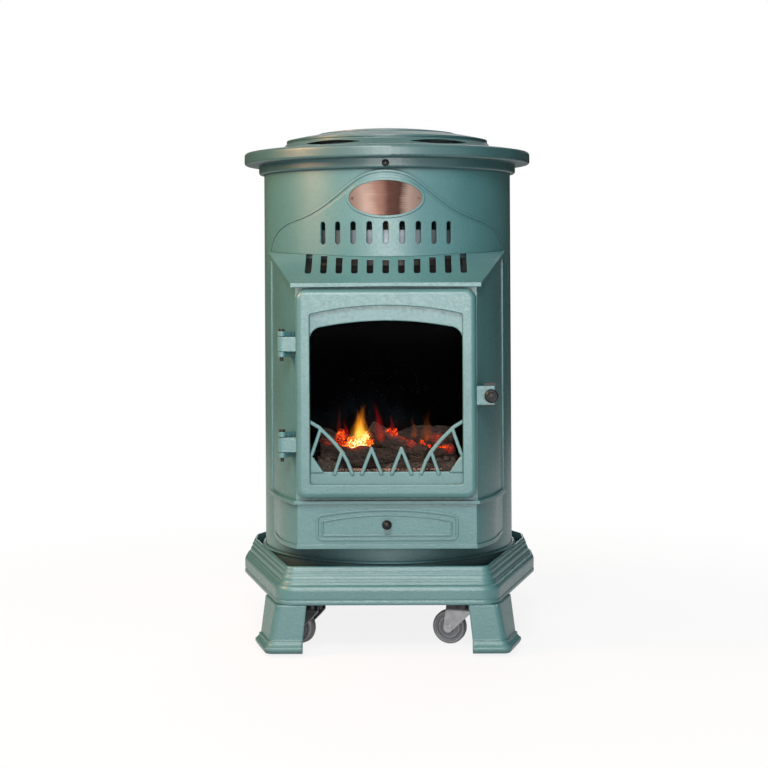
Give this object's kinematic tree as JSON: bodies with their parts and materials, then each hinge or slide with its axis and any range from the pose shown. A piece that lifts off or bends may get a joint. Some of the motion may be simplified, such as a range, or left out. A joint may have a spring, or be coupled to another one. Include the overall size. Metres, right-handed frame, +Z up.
{
  "type": "portable gas cabinet heater",
  "caption": "Round steel gas heater on castors: moulded plinth and feet, glazed arched door on a cast bay, pierced top with a domed lid, and a rear bay for a gas bottle.",
  "frame": {"origin": "centre of the bounding box in plan, on the floor under the wheels", "axes": "+Z up; -Y is the front, where the glazed door is; +X is the viewer's right"},
  "size_m": [0.459, 0.48, 0.773],
  "materials": {
    "enamel": "satin sage-green enamel",
    "dark_metal": "heat-proof matte black",
    "bright_steel": "zinc-plated",
    "galvanised": "galvanised sheet",
    "copper": "aged copper",
    "valve_brass": "machined brass",
    "black_gloss": "glossy black",
    "black_fastener": "blackened steel",
    "wheel_plastic": "grey moulded",
    "fire_glass": "clear heat-proof glass",
    "ceramic_log": "fired ceramic bark",
    "ceramic_bed": "granular ceramic",
    "rope": "graphite glass-fibre rope"
  },
  "bodies": {
    "cabinet": {"plinth": "enamel", "foot_front_right": "enamel", "foot_front_left": "enamel", "foot_rear_right": "enamel", "foot_rear_left": "enamel", "drum_shell": "enamel", "lower_box": "enamel", "bay_casting": "enamel", "canopy": "enamel", "upper_front_panel": "enamel", "top_casting": "enamel", "vent_ring": "enamel", "lid": "enamel", "hinge_brackets": "enamel", "base_pan": "enamel", "base_plate": "dark_metal", "firebox": "dark_metal", "bulkhead": "dark_metal", "lid_bridge": "dark_metal", "castor_tops": "bright_steel", "foot_bolts": "bright_steel", "lid_bolt": "bright_steel", "burner": "bright_steel", "pilot": "bright_steel", "heat_guard": "galvanised", "badge_plate": "copper", "badge_rivets": "copper", "burner_pipe": "copper", "gas_valve": "valve_brass", "hose_tail": "valve_brass", "drawer_knob": "black_gloss", "piezo_igniter": "black_gloss", "top_screws": "black_fastener", "hinge_pins": "black_fastener", "latch_keeper": "black_fastener", "log_front": "ceramic_log", "log_right": "ceramic_log", "log_back": "ceramic_log", "log_cross": "ceramic_log", "ember_bed": "ceramic_bed"},
    "door": {"door_frame": "enamel", "door_insert": "enamel", "door_glass": "fire_glass", "glass_clips": "bright_steel", "door_seal": "rope"},
    "latch": {"latch_knob": "black_gloss", "latch_cam": "bright_steel"},
    "rear_cover": {"rear_cover": "enamel", "rear_cover_grip": "enamel"},
    "spindle": {"valve_spindle": "bright_steel"},
    "control_knob": {"control_knob": "black_gloss"},
    "piezo_button": {"piezo_button": "black_gloss"},
    "castor_front_right": {"castor_fork_front_right": "bright_steel"},
    "wheel_front_right": {"castor_wheel_front_right": "wheel_plastic"},
    "castor_front_left": {"castor_fork_front_left": "bright_steel"},
    "wheel_front_left": {"castor_wheel_front_left": "wheel_plastic"},
    "castor_rear_right": {"castor_fork_rear_right": "bright_steel"},
    "wheel_rear_right": {"castor_wheel_rear_right": "wheel_plastic"},
    "castor_rear_left": {"castor_fork_rear_left": "bright_steel"},
    "wheel_rear_left": {"castor_wheel_rear_left": "wheel_plastic"}
  },
  "joints": [
    {"name": "door_hinge", "type": "hinge", "parent": "cabinet", "child": "door", "pos_m": [-0.1495, -0.21795, 0.376], "axis": [0, 0, -1], "range_deg": [0, 110]},
    {"name": "latch_turn", "type": "hinge", "parent": "door", "child": "latch", "pos_m": [0.1495, -0.2216, 0.3738], "axis": [0, 1, 0], "range_deg": [0, 90]},
    {"name": "rear_cover_lift", "type": "slide", "parent": "cabinet", "child": "rear_cover", "axis": [0, 1, 0], "range_m": [0, 0.3]},
    {"name": "valve_push", "type": "slide", "parent": "cabinet", "child": "spindle", "axis": [0, -1, 0], "range_m": [0, 0.005], "stiffness_N_per_m": 600},
    {"name": "knob_turn", "type": "hinge", "parent": "spindle", "child": "control_knob", "pos_m": [0, 0.205, 0.6715], "axis": [0, 1, 0], "range_deg": [0, 180]},
    {"name": "piezo_press", "type": "slide", "parent": "cabinet", "child": "piezo_button", "axis": [0.3746, -0.9272, 0], "range_m": [0, 0.005], "stiffness_N_per_m": 800},
    {"name": "swivel_front_right", "type": "hinge", "parent": "cabinet", "child": "castor_front_right", "pos_m": [0.11202, -0.14095, 0.06], "axis": [0, 0, 1], "continuous": true},
    {"name": "roll_front_right", "type": "hinge", "parent": "castor_front_right", "child": "wheel_front_right", "pos_m": [0.09135, -0.13502, 0.025], "axis": [-0.2756, -0.9613, 0], "continuous": true},
    {"name": "swivel_front_left", "type": "hinge", "parent": "cabinet", "child": "castor_front_left", "pos_m": [-0.11202, -0.14095, 0.06], "axis": [0, 0, 1], "continuous": true},
    {"name": "roll_front_left", "type": "hinge", "parent": "castor_front_left", "child": "wheel_front_left", "pos_m": [-0.131, -0.13086, 0.025], "axis": [-0.4695, -0.8829, 0], "continuous": true},
    {"name": "swivel_rear_right", "type": "hinge", "parent": "cabinet", "child": "castor_rear_right", "pos_m": [0.11202, 0.15705, 0.06], "axis": [0, 0, 1], "continuous": true},
    {"name": "roll_rear_right", "type": "hinge", "parent": "castor_rear_right", "child": "wheel_rear_right", "pos_m": [0.10192, 0.17603, 0.025], "axis": [-0.8829, -0.4695, 0], "continuous": true},
    {"name": "swivel_rear_left", "type": "hinge", "parent": "cabinet", "child": "castor_rear_left", "pos_m": [-0.11202, 0.15705, 0.06], "axis": [0, 0, 1], "continuous": true},
    {"name": "roll_rear_left", "type": "hinge", "parent": "castor_rear_left", "child": "wheel_rear_left", "pos_m": [-0.0944, 0.16938, 0.025], "axis": [-0.5736, 0.8192, 0], "continuous": true}
  ]
}
